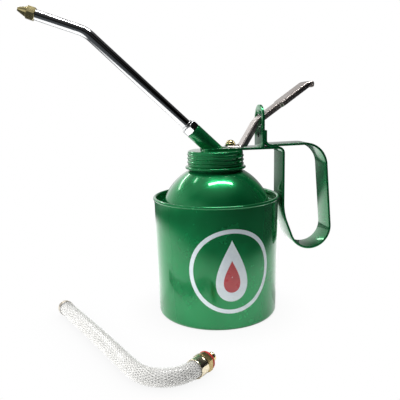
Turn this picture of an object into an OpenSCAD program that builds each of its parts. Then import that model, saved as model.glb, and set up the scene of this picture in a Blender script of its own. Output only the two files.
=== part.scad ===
// Hand-pumped oil can: drawn can with a domed shoulder, screw cap with pump, thumb lever and
// strip handle, rigid gooseneck spout, and a loose flexible spout lying beside it.
// Frame: +Z up, origin at the centre of the can's standing ring, +X towards the handle.

/* [Can] */
// Outer radius of the can wall just under its rolled rim
can_r = 44; // [43.5:0.1:45]
// Outer radius of the can wall at the base
base_r = 42.6; // [42:0.1:43.4]
// Radius of the rounded edge between wall and base
base_edge_r = 3; // [2:0.5:4]
// Height of the recessed base panel
panel_z = 2.5; // [1.5:0.1:2.8]
// Height of the centre of the rolled rim
rim_z = 84.2; // [83.8:0.1:85]
// Radius of the rolled rim's round section
rim_bead_r = 1.1; // [0.9:0.1:1.3]
// Thickness of the can and shoulder sheet
sheet = 0.6; // [0.5:0.05:0.7]
// Radius of the spherical shoulder
dome_r = 40; // [39.6:0.1:40.4]
// Height of the centre of the shoulder's sphere
dome_z = 68; // [67.6:0.1:68.4]

/* [Neck and cap] */
// Outer radius of the can's threaded neck
neck_r = 18.55; // [18.3:0.05:18.6]
// Bore radius of the neck
neck_bore_r = 17.7; // [17.4:0.05:17.8]
// Top of the neck
neck_top = 114.4; // [113.8:0.1:114.5]
// Pitch of the neck thread, and the cap's rise in one turn
thread_pitch = 2.8; // [2.5:0.1:3]
// Inner radius of the cap's skirt
cap_bore_r = 18.95; // [18.9:0.05:19.1]
// Upper face of the cap
cap_top = 117.2; // [117:0.1:117.4]
// Height of the centre of the cap's turned-out lip
lip_z = 105.4; // [105.2:0.1:106]

/* [Pump] */
// Distance of the pump rod from the can's axis
rod_x = 11; // [10.8:0.1:11]
// Radius of the pump rod
rod_r = 1.5; // [1.4:0.05:1.55]
// Bore radius of the pump barrel
barrel_bore_r = 5.2; // [5:0.05:5.3]
// Lower end of the pump barrel
barrel_foot_z = 12; // [11:0.5:14]
// Radius of the foot valve ball
foot_ball_r = 3; // [2.8:0.1:3.2]
// Number of turns of the return spring
spring_turns = 9; // [6:1:11]

/* [Handle and lever] */
// Width of the handle strip and of the fulcrum bracket
strip_w = 19; // [18:0.5:20]
// Thickness of the handle strip and of the bracket
strip_t = 1.6; // [1.4:0.1:1.7]
// Width of the lever channel at its fork and fulcrum
lever_w = 11; // [10:0.5:11.5]
// Width of the lever's thumb pad
pad_w = 16; // [14:0.5:18]
// Depth of the lever's flanges
flange_d = 4.2; // [3.8:0.1:4.4]
// Sheet thickness of the lever
lever_t = 1; // [0.8:0.1:1]
// Middle of the bracket plate along X, which is also the lever's fulcrum
bracket_x = 32.5; // [32.4:0.05:32.55]
// Height of the fulcrum, the centre of the slot's rounded lower edge
fulcrum_z = 133.8; // [133.6:0.1:134]

/* [Rigid spout] */
// Climb of the lower spout above the horizontal, in degrees
spout_angle = 43.5; // [42:0.5:45]
// Where the spout's axis meets the top of the cap
outlet_x = -0.8; // [-1.2:0.1:-0.4]
// Outer radius of the outlet socket
socket_r = 5.55; // [5.4:0.05:5.6]
// Distance along the spout's axis from the cap to the end of the socket
socket_end = 20.3; // [20:0.1:21]
// Outer radius of the spout tube
spout_r = 3.4; // [3.2:0.05:3.45]
// Distance along the axis to where the spout starts to bend
bend_at = 111; // [80:1:120]
// Turn of the bend, in degrees
bend_angle = 25; // [10:1:40]
// Radius of the bend
bend_r = 20; // [14:1:30]
// Straight length between the bend and the nozzle
upper_len = 28; // [15:1:40]

/* [Flexible spout] */
// Outer radius of the flexible hose
hose_r = 5.25; // [5:0.05:5.25]
// Radius of the flexible spout's threaded nipple
nipple_r = 3; // [2.5:0.1:3.5]

/* [Hidden] */
$fn = 72;
gap = 0.05;
running = 0.06;

green = [0.05, 0.36, 0.19];
chrome = [0.86, 0.87, 0.88];
nickel = [0.66, 0.62, 0.58];
brass = [0.83, 0.66, 0.32];
steel = [0.62, 0.63, 0.65];

// Can
panel_r = 38;
panel_slope = 1.5;
rim_r = can_r - 0.3;
dome_foot_z = 79;
dome_foot_r = sqrt(pow(dome_r, 2) - pow(dome_foot_z - dome_z, 2));
dome_out_r = can_r - 0.9;
neck_foot_z = 99.5;

// Cap
cap_plate_t = 0.8;
cap_under = cap_top - cap_plate_t;
cap_skirt_t = 0.45;
ridge_r = 0.75;
lip_r = 0.9;

// Pump
barrel_r = barrel_bore_r + 0.8;
barrel_top = cap_under - gap;
bush_foot_z = 111;
stem_r = 3.2;
seal_r = 3;
port_z = 106;
port_r = 1.7;
inlet_r = 2;
valve_floor = 14;
valve_top = 24;
valve_bore_r = 3.8;
valve_pin_z = 22.6;
valve_pin_r = 0.5;
collar_z = 85;
collar_top = 86.4;
spring_r = 3.9;
wire_r = 0.45;
cup_z = 37.5;
cup_h = 4.5;

// Strip handle: corners of its middle line, and the radius at each
strip_z = cap_top + strip_t / 2;
top_strip_z = strip_z + strip_t + gap;
tab_x = bracket_x + strip_t + 2 * gap;
handle_corners = [[-9.5, strip_z], [47.4, strip_z], [47.4, 70.6], [57.7, 43.7], [84.8, 43.7],
  [78.5, top_strip_z + 0.6], [tab_x, top_strip_z], [tab_x, 130.5]];
handle_radii = [0, 4, 40, 15.2, 15.2, 16.5, 4, 0];
rivet_z = 126.4;
rivet_r = 1.5;

// Bracket
slot_w = lever_w + 1.3;
slot_top = 141.3;
bracket_top = 148;

// Lever: corners of its upper face, and the radius at each
fork_z = strip_z + strip_t / 2 + 0.4 + lever_t;
lever_corners = [[8, fork_z], [17.6, fork_z], [28.2, 137.6], [64.8, 163], [68.9, 163.7]];
lever_radii = [0, 2.6, 18, 6, 0];
nose_corners = [[67.5, 163.46], [69.9, 163.87], [70.7, 159.5]];
nose_radii = [0, 1.6, 0];
nose_x = 68.7;
ear_r = 2.2;
pad_x = 45.2;
fork_gap = 4.4;
fork_root = 17.5;
nut_z = fork_z + 0.3;
nut_r = 3.5;

// Spout
seat_s = 6.5;
seat_top = 11;
pocket_s = 8.8;
delivery_hole_r = 1.6;
delivery_ball_r = 2.8;
nut_thread_s = 17;
flare_s = 15.9;
nozzle_socket = 3;
// the upper tube's wall is drawn thinner by this on each side, and laps into the bend
drawn = 0.05;
bend_lap = 0.8;

// Flexible spout: the hose's middle line, from its threaded fitting to its tip
hose_route = [[-34, -96, 6], [-38.7, -99.4, 5.9], [-44.2, -101.4, 5.7], [-49.7, -101.9, 5.5],
  [-55.4, -100.8, 5.4], [-60.3, -98.3, 5.3], [-64.7, -94.4, 5.3], [-67.8, -89.6, 5.3],
  [-71.5, -81.5, 5.3], [-75.3, -72, 5.3], [-79.1, -62.3, 5.3], [-83, -52.5, 5.3],
  [-87, -42.5, 5.3], [-91, -32.8, 5.3], [-95, -23.2, 5.3], [-99, -13.8, 5.3],
  [-103, -4.4, 5.3], [-106.8, 4.6, 5.3], [-110, 12, 5.3]];
fitting_turn = 44;
tip_turn = 113;
crimp_len = 4.2;
hex_len = 4.2;
nipple_len = 6.9;
washer_from = crimp_len + hex_len + 3 * gap;
washer_t = 1.6;

function unit(v) = v / norm(v);
function turned(v) = [-v[1], v[0]];
function last(list) = list[len(list) - 1];

// Points of a fillet of radius r at corner b of the line a-b-c
function fillet(a, b, c, r, steps = 12) =
  let (
    u = unit(a - b), v = unit(c - b), half = acos(u * v) / 2,
    centre = b + unit(u + v) * r / sin(half),
    p = b + u * r / tan(half) - centre, q = b + v * r / tan(half) - centre,
    sweep = acos(max(-1, min(1, p * q / (r * r)))),
    side = sign(p[0] * q[1] - p[1] * q[0])
  )
  [for (i = [0:steps]) let (t = side * sweep * i / steps)
    centre + [p[0] * cos(t) - p[1] * sin(t), p[0] * sin(t) + p[1] * cos(t)]];

// A line through corners, with a fillet wherever the radius isn't zero
function rounded(corners, radii) =
  [for (i = [0:len(corners) - 1]) each radii[i] == 0 ? [corners[i]]
    : fillet(corners[i - 1], corners[i], corners[i + 1], radii[i])];

// A line moved sideways by d, to its left when d is positive
function beside(line, d) =
  [for (i = [0:len(line) - 1]) let (
      before = i == 0 ? unit(line[1] - line[0]) : unit(line[i] - line[i - 1]),
      after = i == len(line) - 1 ? before : unit(line[i + 1] - line[i]),
      mid = unit(before + after)
    ) line[i] + turned(mid) * d / (mid * before)];

function backwards(list) = [for (i = [len(list) - 1:-1:0]) list[i]];

// Outline of a strip that lies between two offsets of one line
function band(line, left, right) = concat(beside(line, left), backwards(beside(line, right)));

module ring(outer, inner, from, to) {
  translate([0, 0, from]) difference() {
    cylinder(r = outer, h = to - from);
    translate([0, 0, -1]) cylinder(r = inner, h = to - from + 2);
  }
}

// Draws a side view, with X to the right and Z up, and gives it a width along Y
module side_view(width, at = 0) {
  translate([0, at + width / 2, 0]) rotate([90, 0, 0]) linear_extrude(width) children();
}

module hex(flats, from, to) {
  translate([0, 0, from]) cylinder(r = flats / 2 / cos(30), h = to - from, $fn = 6);
}

module at_rod() { translate([rod_x, 0, 0]) children(); }

// Puts Z along the lower spout's axis, with zero where the axis meets the cap
module on_spout() {
  translate([outlet_x, 0, cap_top]) rotate([0, spout_angle - 90, 0]) children();
}

// Puts Z along the upper spout's axis, with zero at the end of the bend
module on_upper_spout() {
  on_spout() translate([-bend_r, 0, bend_at]) rotate([0, -bend_angle, 0])
    translate([bend_r, 0, 0]) children();
}

// Puts Z along the flexible spout's threaded fitting, with zero at the hose's end
module on_fitting() {
  translate(hose_route[0]) rotate([90, 0, fitting_turn + 90]) children();
}

// Section of the can's inside when inset is the sheet thickness, and of its outside when it is 0
module can_section(inset) {
  polygon([[0, panel_z + inset], [panel_r - panel_slope + inset / 2, panel_z + inset],
    [panel_r + inset / 2, inset], [base_r - base_edge_r, inset],
    [base_r - inset, base_edge_r], [can_r - inset, rim_z], [0, rim_z]]);
  translate([base_r - base_edge_r, base_edge_r]) circle(r = base_edge_r - inset);
}

module can_body() {
  color(green) rotate_extrude() {
    difference() {
      can_section(0);
      can_section(sheet);
    }
    translate([rim_r, rim_z]) circle(r = rim_bead_r);
  }
}

module shoulder_dome() {
  color(green) rotate_extrude() {
    difference() {
      translate([0, dome_z]) circle(r = dome_r);
      translate([0, dome_z]) circle(r = dome_r - sheet);
      translate([-dome_r, 0]) square([2 * dome_r, dome_foot_z - sheet]);
      translate([-dome_r, 0]) square([dome_r + neck_r + gap, 2 * dome_r + dome_z]);
    }
    translate([dome_foot_r - sheet, dome_foot_z - sheet])
      square([dome_out_r - dome_foot_r + sheet, sheet]);
    translate([dome_out_r - sheet, dome_foot_z - sheet])
      square([sheet, rim_z - rim_bead_r - gap - dome_foot_z + sheet]);
  }
}

module neck_ring() { color(steel) ring(neck_r, neck_bore_r, neck_foot_z, neck_top); }

module cap_seal() { color([0.1, 0.1, 0.1]) ring(18.6, 17.35, neck_top + 0.2, cap_under - 0.2); }

module cap_section() {
  corner_r = 1.1;
  difference() {
    union() {
      translate([0, lip_z]) square([cap_bore_r + cap_skirt_t, cap_under - lip_z]);
      translate([0, cap_under]) square([cap_bore_r - 0.2, cap_plate_t]);
      translate([cap_bore_r - 0.2, cap_top - corner_r]) circle(r = corner_r);
      for (turn = [1:3])
        translate([cap_bore_r + 0.3, lip_z + turn * thread_pitch - 0.2]) circle(r = ridge_r);
      translate([0, lip_z - 0.4]) square([cap_bore_r + 1.5, 0.8]);
      translate([cap_bore_r + 1.5, lip_z]) circle(r = lip_r);
    }
    translate([-1, 0]) square([cap_bore_r + 1, cap_under]);
  }
}

module cap_shell() {
  color(green) difference() {
    rotate_extrude() cap_section();
    at_rod() translate([0, 0, cap_under - 1]) cylinder(r = stem_r + gap, h = 3);
    translate([outlet_x, 0, cap_under - 1]) cylinder(r = 3, h = 3);
  }
}

module outlet_socket() {
  color(green) intersection() {
    on_spout() ring(socket_r, 4.4, -12, socket_end);
    translate([-30, -20, cap_top + gap / 2]) cube([60, 40, 40]);
  }
}

module gland_bush() {
  color(brass) at_rod() difference() {
    translate([0, 0, bush_foot_z]) union() {
      cylinder(r = barrel_bore_r - gap, h = barrel_top - bush_foot_z);
      cylinder(r = stem_r, h = cap_top - gap - bush_foot_z);
    }
    cylinder(r = rod_r + running, h = cap_top + 1);
    cylinder(r = seal_r, h = bush_foot_z + 2.2);
  }
}

module rod_seal() {
  color([0.1, 0.1, 0.1]) at_rod()
    ring(seal_r - gap, rod_r + running, bush_foot_z + gap, bush_foot_z + 2.15);
}

module pump_barrel() {
  color(steel) difference() {
    at_rod() ring(barrel_r, barrel_bore_r, barrel_foot_z, barrel_top);
    translate([0, 0, port_z]) rotate([0, 90, 0]) cylinder(r = port_r, h = rod_x);
  }
}

module foot_valve() {
  color(brass) at_rod() difference() {
    union() {
      translate([0, 0, 5.5]) cylinder(r = barrel_r, h = barrel_foot_z - gap - 5.5);
      translate([0, 0, 5.5]) cylinder(r = barrel_bore_r - gap, h = valve_top - 5.5);
    }
    cylinder(r = inlet_r, h = valve_top);
    translate([0, 0, valve_floor]) cylinder(r = valve_bore_r, h = valve_top);
    translate([0, 10, valve_pin_z]) rotate([90, 0, 0]) cylinder(r = valve_pin_r + gap, h = 20);
  }
}

module valve_pin() {
  color(steel) at_rod() translate([0, 5, valve_pin_z]) rotate([90, 0, 0])
    cylinder(r = valve_pin_r, h = 10);
}

module strainer() {
  color(brass) at_rod() difference() {
    translate([0, 0, 4.4]) cylinder(r = barrel_r, h = 1.05);
    for (turn = [0:60:300]) rotate([0, 0, turn]) translate([3.6, 0, 4]) cylinder(r = 0.8, h = 2);
    for (turn = [0:120:240]) rotate([0, 0, turn]) translate([1.2, 0, 4]) cylinder(r = 0.7, h = 2);
  }
}

module pipe_run(r, start) {
  translate([outlet_x, 0, port_z]) {
    rotate([0, 90, 0]) cylinder(r = r, h = rod_x - outlet_x - 4);
    cylinder(r = r, h = cap_under - gap - port_z + start);
    sphere(r = r);
  }
}

module delivery_pipe() {
  color(brass) difference() {
    pipe_run(2.4, 0);
    pipe_run(port_r, 1);
    at_rod() cylinder(r = barrel_r + gap, h = cap_top);
  }
}

module delivery_seat() {
  color(brass) on_spout() difference() {
    translate([0, 0, seat_s]) cylinder(r = 4.35, h = seat_top - seat_s);
    cylinder(r = delivery_hole_r, h = seat_top + 1);
    translate([0, 0, pocket_s]) cylinder(r = 3.3, h = seat_top);
  }
}

module handle_strip() {
  line = rounded(handle_corners, handle_radii);
  color(green) difference() {
    side_view(strip_w) polygon(band(line, strip_t / 2, -strip_t / 2));
    // notch round the foot of the outlet socket, and the rod's hole
    translate([-20, -5.8, strip_z - 2]) cube([22, 11.6, 4]);
    translate([2, 0, strip_z - 2]) cylinder(r = 5.8, h = 4);
    at_rod() translate([0, 0, strip_z - 2]) cylinder(r = rod_r + 0.4, h = 4);
    translate([tab_x - 3, 0, rivet_z]) rotate([0, 90, 0]) cylinder(r = rivet_r + gap, h = 6);
  }
}

module bracket_outline() {
  round_r = strip_w / 2;
  difference() {
    union() {
      translate([-round_r, cap_top + strip_t + gap])
        square([strip_w, bracket_top - round_r - cap_top - strip_t - gap]);
      translate([0, bracket_top - round_r]) circle(r = round_r);
    }
    translate([-slot_w / 2, fulcrum_z]) square([slot_w, slot_top - fulcrum_z]);
    translate([0, rivet_z]) circle(r = rivet_r + gap);
  }
}

module fulcrum_bracket() {
  color(green) {
    translate([bracket_x - strip_t / 2, 0, 0]) rotate([90, 0, 90])
      linear_extrude(strip_t) bracket_outline();
    // the slot's lower edge is rounded, and the lever rocks on it
    translate([bracket_x, slot_w / 2 + 1, fulcrum_z]) rotate([90, 0, 0])
      cylinder(r = strip_t / 2, h = slot_w + 2);
  }
}

module bracket_rivet() {
  color(green) translate([0, 0, rivet_z]) rotate([0, 90, 0]) {
    // flush with the bracket's face on the lever's side, with a head on the other
    translate([0, 0, bracket_x - strip_t / 2]) cylinder(r = rivet_r, h = 2 * strip_t + 0.4);
    translate([0, 0, tab_x + strip_t / 2 + gap]) cylinder(r = 2.4, h = 0.8);
  }
}

module spout_nut() {
  color(chrome) on_spout() difference() {
    union() {
      hex(10.4, socket_end + gap, socket_end + 4.9);
      translate([0, 0, nut_thread_s]) cylinder(r = 4.35, h = 5);
    }
    cylinder(r = spout_r + running, h = 40);
  }
}

// Keeps the part of a side view whose X lies between two values
module between(from, to) {
  intersection() {
    children();
    translate([from, 100]) square([to - from, 80]);
  }
}

// Side view of the lever: its flanges, the ear that rocks on the bracket, and the curled nose
module lever_outline(depth) {
  difference() {
    union() {
      polygon(band(rounded(lever_corners, lever_radii), 0, -depth));
      polygon(band(rounded(nose_corners, nose_radii), 0, -lever_t));
      intersection() {
        translate([bracket_x, fulcrum_z]) circle(r = ear_r);
        translate([0, fulcrum_z]) square([60, 20]);
      }
    }
    translate([bracket_x, fulcrum_z]) circle(r = strip_t / 2 + running);
    translate([-50, 0]) square([200, fork_z - lever_t]);
  }
}

// A length of the lever's channel, open at its foot
module channel(width, depth, from, to) {
  difference() {
    side_view(width) between(from, to) lever_outline(depth);
    side_view(width - 2 * lever_t) between(from - 1, min(to + 1, nose_x))
      polygon(band(rounded(lever_corners, lever_radii), -lever_t, -depth - 2));
  }
}

module lever() {
  slot_x = fork_root - fork_gap / 2;
  color(nickel) {
    difference() {
      channel(lever_w, flange_d, 0, pad_x);
      translate([0, -fork_gap / 2, fork_z - 3]) cube([slot_x, fork_gap, 6]);
      translate([slot_x, 0, fork_z - 3]) cylinder(d = fork_gap, h = 6);
    }
    channel(pad_w, flange_d - 0.4, pad_x, 90);
  }
}

module plunger_rod() {
  color(steel) at_rod() translate([0, 0, 34]) cylinder(r = rod_r, h = nut_z + 2.4 - 34);
}

module rod_nut() {
  color(brass) at_rod() translate([0, 0, nut_z]) difference() {
    union() {
      cylinder(r = nut_r, h = 1.5);
      intersection() {
        sphere(r = nut_r + 0.05);
        cylinder(r = nut_r, h = 3.5);
      }
    }
    translate([0, 0, -1]) cylinder(r = rod_r + gap, h = 3.5);
  }
}

module spring_collar() { color(steel) at_rod() ring(4.6, rod_r + gap, collar_z, collar_top); }

// The helix stands between the collar on the rod and the gland bush
module return_spring() {
  sides = 6;
  steps = 14;
  from = collar_top + wire_r + gap;
  to = bush_foot_z - wire_r - gap;
  count = spring_turns * steps;
  points = [for (i = [0:count], j = [0:sides - 1]) let (
      turn = i * 360 / steps, face = j * 360 / sides, r = spring_r + wire_r * cos(face)
    ) [rod_x + r * cos(turn), r * sin(turn), from + (to - from) * i / count + wire_r * sin(face)]];
  color(steel) polyhedron(points, tube_faces(count + 1, sides));
}

// Faces of a closed tube made of rings of points
function tube_faces(rings, sides) = concat(
  [[for (j = [0:sides - 1]) j]],
  [for (i = [0:rings - 2], j = [0:sides - 1]) let (k = (j + 1) % sides)
    each [[i * sides + j, (i + 1) * sides + j, (i + 1) * sides + k],
      [i * sides + j, (i + 1) * sides + k, i * sides + k]]],
  [[for (j = [sides - 1:-1:0]) (rings - 1) * sides + j]]);

module piston_washers() {
  color(steel) at_rod() {
    ring(4.9, rod_r + gap, cup_z - 1.4, cup_z - gap);
    ring(4.1, rod_r + gap, cup_z + 1.3, cup_z + 2.6);
  }
}

module piston_cup() {
  color([0.45, 0.28, 0.15]) at_rod() difference() {
    translate([0, 0, cup_z]) cylinder(r = barrel_bore_r - running, h = cup_h);
    cylinder(r = rod_r + gap, h = 100);
    translate([0, 0, cup_z + 1.25]) cylinder(r = 4.3, h = cup_h);
  }
}

module piston_nut() {
  color(brass) at_rod() difference() {
    hex(6, cup_z - 3.9, cup_z - 1.45);
    translate([0, 0, cup_z - 6]) cylinder(r = rod_r + gap, h = 6);
  }
}

// Height of a ball's centre above the edge of the hole that it closes
function seated(ball, hole) = sqrt(pow(ball, 2) - pow(hole, 2)) + 0.02;

module foot_ball() {
  color(steel) at_rod() translate([0, 0, valve_floor + seated(foot_ball_r, inlet_r)])
    sphere(r = foot_ball_r);
}

module delivery_ball() {
  color(steel) on_spout()
    translate([0, 0, pocket_s + seated(delivery_ball_r, delivery_hole_r)])
      sphere(r = delivery_ball_r);
}

module spout_tube() {
  bore_r = spout_r - 0.8;
  color(chrome) {
    on_spout() {
      ring(4.1, bore_r, flare_s, flare_s + 0.9);
      ring(spout_r, bore_r, flare_s + 0.9, bend_at);
      translate([-bend_r, 0, bend_at]) rotate([90, 0, 0]) rotate_extrude(angle = bend_angle)
        translate([bend_r, 0]) difference() {
          circle(r = spout_r);
          circle(r = bore_r);
        }
    }
    on_upper_spout()
      ring(spout_r - drawn, bore_r + drawn, -bend_lap, upper_len + nozzle_socket - gap);
  }
}

module spout_ferrule() {
  color(chrome) on_spout() ring(4.2, spout_r + gap, socket_end + 5.05, socket_end + 6.6);
}

module nozzle() {
  color(brass) on_upper_spout() difference() {
    union() {
      hex(8, upper_len, upper_len + 5.4);
      translate([0, 0, upper_len + 5.4]) cylinder(r1 = 3.4, r2 = 1.2, h = 5.6);
    }
    cylinder(r = spout_r + gap, h = upper_len + nozzle_socket);
    cylinder(r = 0.8, h = upper_len + 20);
  }
}

// Direction of the hose at one of its points
function hose_way(i) = unit(hose_route[min(i + 1, len(hose_route) - 1)] - hose_route[max(i - 1, 0)]);

// The hose is a solid bar here, with a ring of points square to its route at each point
module flex_hose() {
  sides = 12;
  rings = len(hose_route);
  points = [for (i = [0:rings - 1], j = [0:sides - 1]) let (
      way = i == 0 ? -[cos(fitting_turn), sin(fitting_turn), 0] : hose_way(i),
      across = unit(cross(way, [0, 0, 1])), up = cross(across, way),
      face = (j + 0.5) * 360 / sides
    ) hose_route[i] + hose_r * (across * cos(face) + up * sin(face))];
  color([0.85, 0.86, 0.82]) polyhedron(points, tube_faces(rings, sides));
}

module flex_tip() {
  color(steel) translate(last(hose_route)) rotate([90, 0, tip_turn + 90]) {
    translate([0, 0, gap]) cylinder(r = 5.1, h = 2.6);
    translate([0, 0, 2.6]) cylinder(r1 = 5, r2 = 4.3, h = 0.8);
  }
}

module flex_crimp() { color(brass) on_fitting() translate([0, 0, gap]) cylinder(r = 5.7, h = crimp_len); }

module flex_fitting() {
  hex_from = crimp_len + 2 * gap;
  thread_from = washer_from + washer_t + 0.2;
  thread_to = hex_from + hex_len + nipple_len;
  color(brass) on_fitting() difference() {
    union() {
      hex(11, hex_from, hex_from + hex_len);
      translate([0, 0, hex_from]) cylinder(r = nipple_r - 0.2, h = thread_from - hex_from + 0.1);
      translate([0, 0, thread_from]) cylinder(r = nipple_r, h = thread_to - thread_from);
    }
    translate([0, 0, hex_from + hex_len]) cylinder(r = 1.6, h = 10);
  }
}

module flex_washer() {
  color([0.7, 0.12, 0.08]) on_fitting()
    ring(5.7, nipple_r - 0.2 + gap, washer_from, washer_from + washer_t);
}

can_body();
shoulder_dome();
neck_ring();
cap_seal();
cap_shell();
outlet_socket();
gland_bush();
rod_seal();
pump_barrel();
foot_valve();
valve_pin();
strainer();
delivery_pipe();
delivery_seat();
handle_strip();
fulcrum_bracket();
bracket_rivet();
spout_nut();
lever();
plunger_rod();
rod_nut();
spring_collar();
return_spring();
piston_washers();
piston_cup();
piston_nut();
foot_ball();
delivery_ball();
spout_tube();
spout_ferrule();
nozzle();
flex_hose();
flex_tip();
flex_crimp();
flex_fitting();
flex_washer();
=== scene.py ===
"""Looks of the hand-pumped oil can: green enamel, nickel lever, chrome spout and a loose flexible spout."""
import math

import bmesh
import bpy
from mathutils import Matrix, Vector


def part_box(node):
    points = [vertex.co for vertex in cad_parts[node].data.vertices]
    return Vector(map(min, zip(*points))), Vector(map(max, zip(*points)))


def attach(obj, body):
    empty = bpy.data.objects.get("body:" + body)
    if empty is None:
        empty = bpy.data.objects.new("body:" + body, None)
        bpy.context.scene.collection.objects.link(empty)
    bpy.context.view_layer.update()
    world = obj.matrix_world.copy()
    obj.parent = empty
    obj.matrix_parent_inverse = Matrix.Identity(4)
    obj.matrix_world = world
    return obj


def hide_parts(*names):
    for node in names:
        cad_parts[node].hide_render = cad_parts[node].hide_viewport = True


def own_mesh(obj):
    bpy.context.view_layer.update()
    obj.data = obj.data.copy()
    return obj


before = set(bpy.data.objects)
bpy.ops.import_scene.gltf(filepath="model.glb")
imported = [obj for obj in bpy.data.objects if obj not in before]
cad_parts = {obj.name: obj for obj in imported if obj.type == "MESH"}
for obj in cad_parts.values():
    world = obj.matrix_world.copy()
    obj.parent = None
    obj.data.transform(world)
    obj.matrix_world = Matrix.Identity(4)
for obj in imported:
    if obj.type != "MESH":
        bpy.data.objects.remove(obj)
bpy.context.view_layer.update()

MM = 0.001
ACROSS = Vector((0, 1, 0))

# --- dimensions in millimetres, the CAD model's own ---
CAN_R, BASE_R, BASE_EDGE_R, PANEL_R, PANEL_Z = 44, 42.6, 3, 38, 2.5
RIM_Z, RIM_R, RIM_BEAD_R, SHEET = 84.2, 43.7, 1.1, 0.6
DOME_R, DOME_Z, DOME_FOOT_Z, DOME_OUT_R = 40, 68, 79, 43.1
NECK_R, NECK_BORE_R, NECK_TOP, PITCH, THREAD_Z = 18.55, 17.7, 114.4, 2.8, 106.4
CAP_BORE_R, CAP_TOP, CAP_PLATE, LIP_Z, LIP_R = 18.95, 117.2, 0.6, 105.4, 0.9
ROD_X, STRIP_W, STRIP_T = 11, 19, 1.6
STRIP_Z = CAP_TOP + STRIP_T / 2
BRACKET_X, FULCRUM_Z, SLOT_TOP, BRACKET_TOP, RIVET_Z = 32.5, 133.8, 141.3, 148, 126.4
LEVER_W, PAD_W, PAD_X, LEVER_T, FLANGE = 11, 16, 45.2, 1, 4.2
FORK_Z = STRIP_Z + STRIP_T / 2 + 0.4 + LEVER_T
OUTLET_X, SPOUT_ANGLE, SOCKET_R, SOCKET_END = -0.8, 43.5, 5.55, 20.3
SPOUT_R, BEND_AT, BEND_ANGLE, BEND_R, UPPER_LEN = 3.4, 111, 25, 20, 28
HOSE_R, LINER_R, CRIMP_LEN, HEX_LEN, NIPPLE_R = 5.25, 3.2, 4.2, 4.2, 3
FITTING_TURN, TIP_TURN = 44, 113

# --- braid: yarns each way, turn's length, radius, half a yarn's width and thickness, weave either way ---
YARNS, YARN_PITCH, BRAID_R, YARN_HALF_W, YARN_HALF_T, WEAVE = 20, 60, 4.5, 0.34, 0.13, 0.14

HOSE_ROUTE = [
    (-34, -96, 6), (-38.7, -99.4, 5.9), (-44.2, -101.4, 5.7), (-49.7, -101.9, 5.5),
    (-55.4, -100.8, 5.4), (-60.3, -98.3, 5.3), (-64.7, -94.4, 5.3), (-67.8, -89.6, 5.3),
    (-71.5, -81.5, 5.3), (-75.3, -72, 5.3), (-79.1, -62.3, 5.3), (-83, -52.5, 5.3),
    (-87, -42.5, 5.3), (-91, -32.8, 5.3), (-95, -23.2, 5.3), (-99, -13.8, 5.3),
    (-103, -4.4, 5.3), (-106.8, 4.6, 5.3), (-110, 12, 5.3)]


# --- lines and sections ---
def fillet(a, b, c, radius, steps):
    """Points of an arc of that radius at corner b of the line a-b-c."""
    u, v = (a - b).normalized(), (c - b).normalized()
    half = u.angle(v) / 2
    centre = b + (u + v).normalized() * radius / math.sin(half)
    start = b + u * radius / math.tan(half) - centre
    end = b + v * radius / math.tan(half) - centre
    sweep = start.angle(end)
    side = 1 if start.cross(end) > 0 else -1
    turns = [Matrix.Rotation(side * sweep * i / steps, 2) for i in range(steps + 1)]
    return [centre + turn @ start for turn in turns]


def rounded(corners, closed=False, steps=8):
    """A flat line through (x, y, radius) corners, with an arc at each corner whose radius isn't zero."""
    places = [Vector(corner[:2]) for corner in corners]
    line = []
    for i, corner in enumerate(corners):
        inner = closed or 0 < i < len(corners) - 1
        if corner[2] and inner:
            before, after = places[i - 1], places[(i + 1) % len(corners)]
            line += fillet(before, places[i], after, corner[2], steps)
        else:
            line.append(places[i])
    return line


def arc(centre, radius, start, end, steps=16):
    """Points of a flat arc between two angles in degrees."""
    angles = [math.radians(start + (end - start) * i / steps) for i in range(steps + 1)]
    return [(centre[0] + radius * math.cos(a), centre[1] + radius * math.sin(a)) for a in angles]


def walk(line, spacing):
    """The line again, with points that far apart."""
    lengths = [0]
    for a, b in zip(line, line[1:]):
        lengths.append(lengths[-1] + (b - a).length)
    count = max(2, round(lengths[-1] / spacing))
    points, part = [], 0
    for i in range(count + 1):
        at = lengths[-1] * i / count
        while part < len(line) - 2 and lengths[part + 1] < at:
            part += 1
        share = (at - lengths[part]) / max(lengths[part + 1] - lengths[part], 1e-9)
        points.append(line[part].lerp(line[part + 1], share))
    return points


def smooth_route(route, steps=10):
    """A Catmull-Rom curve through the route's points."""
    places = [Vector(p) for p in route]
    places = [2 * places[0] - places[1]] + places + [2 * places[-1] - places[-2]]
    curve = []
    for a, b, c, d in zip(places, places[1:], places[2:], places[3:]):
        for i in range(steps):
            t = i / steps
            curve.append(0.5 * (2 * b + (c - a) * t + (2 * a - 5 * b + 4 * c - d) * t ** 2
                                + (3 * b - a - 3 * c + d) * t ** 3))
    return curve + [places[-2]]


def ease(low, high, value):
    """0 below low, 1 above high, and a smooth step between them."""
    share = min(1, max(0, (value - low) / (high - low)))
    return share * share * (3 - 2 * share)


# --- meshes: each maker returns points in millimetres and faces ---
def bands(rows, count, closed=False):
    """Faces between rows of count points, each row a ring. closed also joins the last row to the first."""
    faces = []
    for i in range(rows if closed else rows - 1):
        low, high = i * count, (i + 1) % rows * count
        for j in range(count):
            k = (j + 1) % count
            faces.append((low + j, low + k, high + k, high + j))
    return faces


def lids(rows, count):
    """The faces that close such rows' two ends."""
    return [tuple(range(count - 1, -1, -1)), tuple((rows - 1) * count + j for j in range(count))]


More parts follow.
